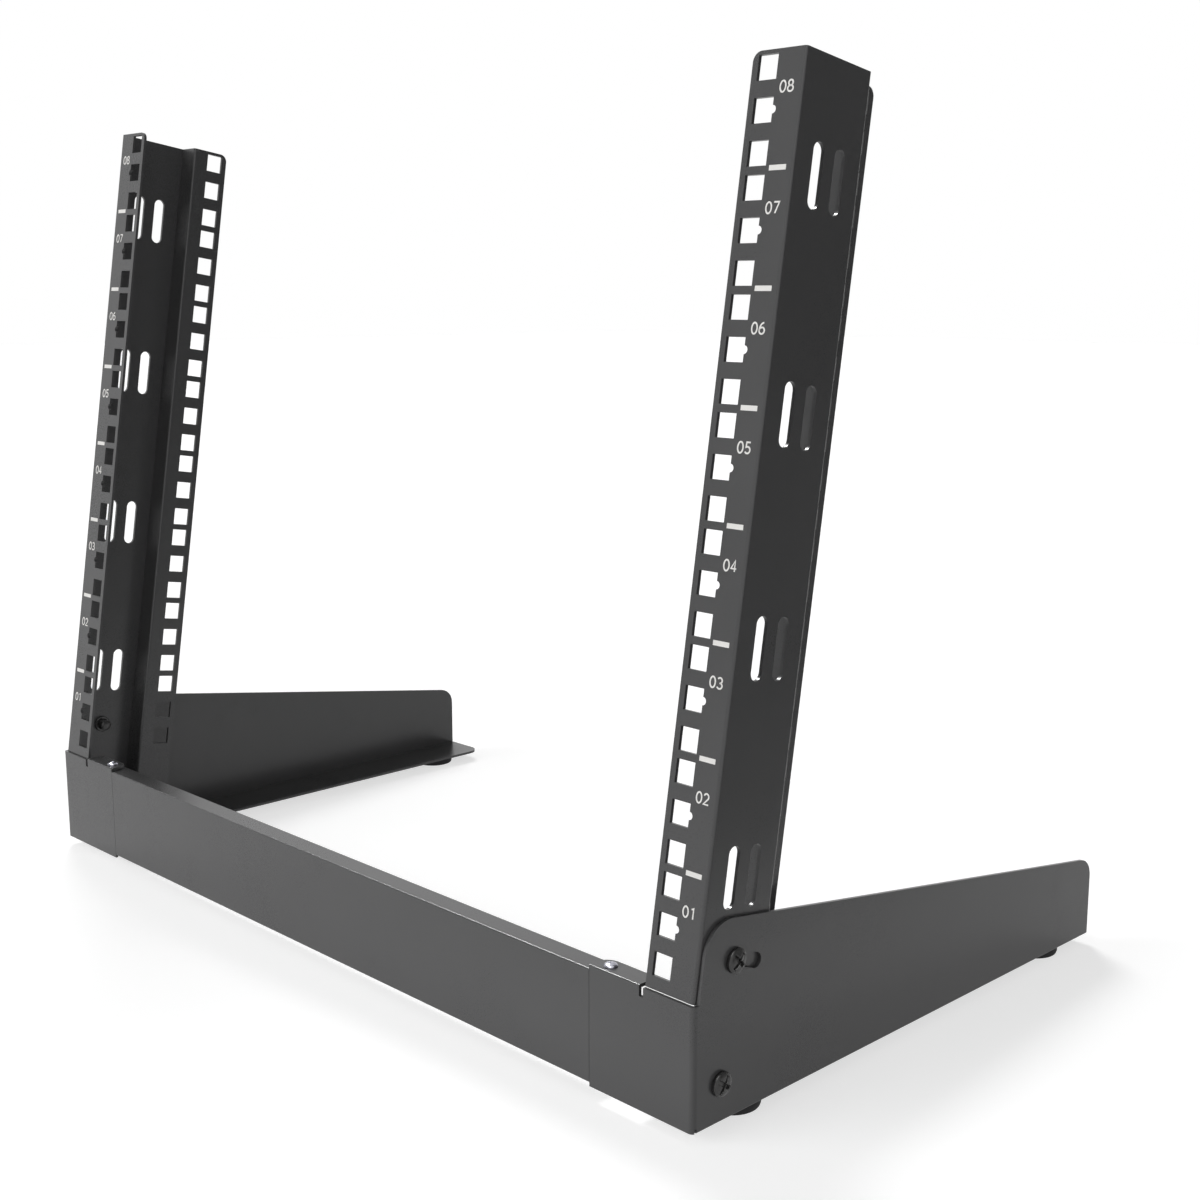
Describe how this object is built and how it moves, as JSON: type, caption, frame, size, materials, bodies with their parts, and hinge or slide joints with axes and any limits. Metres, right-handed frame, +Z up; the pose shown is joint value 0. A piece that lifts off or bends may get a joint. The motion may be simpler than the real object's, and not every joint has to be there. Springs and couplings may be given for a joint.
{
  "type": "two post open frame rack",
  "caption": "Desktop two post open frame rack of folded black sheet steel: leaning posts with square holes on wedge-shaped side brackets joined by a front crossbar.",
  "frame": {"origin": "floor level, in the middle of the base's width and depth", "axes": "+X to the right post, +Y from front to back, +Z up"},
  "size_m": [0.5096, 0.294, 0.4122],
  "materials": {
    "black_steel": "fine satin black powder coat",
    "black_screw": "black zinc screw, half gloss",
    "bright_steel": "polished nickel",
    "black_rubber": "matte moulded rubber"
  },
  "bodies": {
    "base": {"right_side_bracket": "black_steel", "left_side_bracket": "black_steel", "front_crossbar": "black_steel", "front_right_foot": "black_rubber", "rear_right_foot": "black_rubber", "front_left_foot": "black_rubber", "rear_left_foot": "black_rubber", "right_dome_screw": "bright_steel", "right_dome_nut": "bright_steel", "left_dome_screw": "bright_steel", "left_dome_nut": "bright_steel"},
    "right_upright": {"right_post": "black_steel", "right_pivot_screw": "black_screw", "right_pivot_nut": "black_screw", "right_tilt_screw": "black_screw", "right_tilt_nut": "black_screw"},
    "left_upright": {"left_post": "black_steel", "left_pivot_screw": "black_screw", "left_pivot_nut": "black_screw", "left_tilt_screw": "black_screw", "left_tilt_nut": "black_screw"}
  },
  "joints": [
    {"name": "right_post_tilt", "type": "hinge", "parent": "base", "child": "right_upright", "pos_m": [0.2505, -0.1313, 0.0212], "axis": [-1, 0, 0], "range_deg": [0, 15]},
    {"name": "left_post_tilt", "type": "hinge", "parent": "base", "child": "left_upright", "pos_m": [-0.2505, -0.1313, 0.0212], "axis": [-1, 0, 0], "range_deg": [0, 15]}
  ]
}
